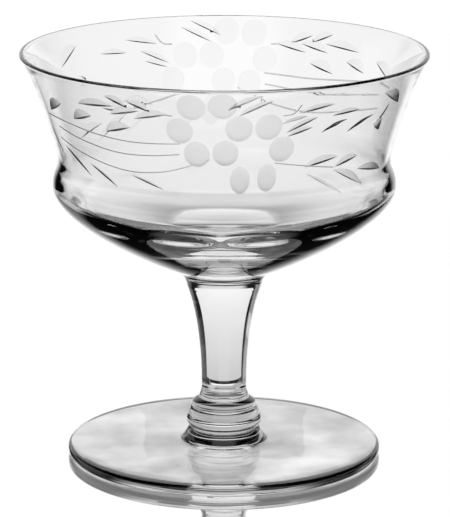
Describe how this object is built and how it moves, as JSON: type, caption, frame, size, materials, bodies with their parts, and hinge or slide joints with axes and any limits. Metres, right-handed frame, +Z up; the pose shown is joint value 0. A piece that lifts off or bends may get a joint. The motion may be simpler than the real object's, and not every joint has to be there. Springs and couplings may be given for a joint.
{
  "type": "sherbet glass",
  "caption": "Footed sherbet glass in clear glass: waisted, flared bowl with optic panels inside and cut flower sprays, short solid stem, ridged button and round foot.",
  "frame": {"origin": "centre of the foot on the surface that the glass stands on", "axes": "+Z up along the turned axis; the camera of the picture stands between -Y and +X"},
  "size_m": [0.095, 0.095, 0.0965],
  "materials": {
    "clear_glass": "fire-polished, clear and colourless"
  },
  "bodies": {
    "root": {"bowl": "clear_glass", "stem": "clear_glass", "button": "clear_glass", "foot": "clear_glass"}
  },
  "joints": []
}
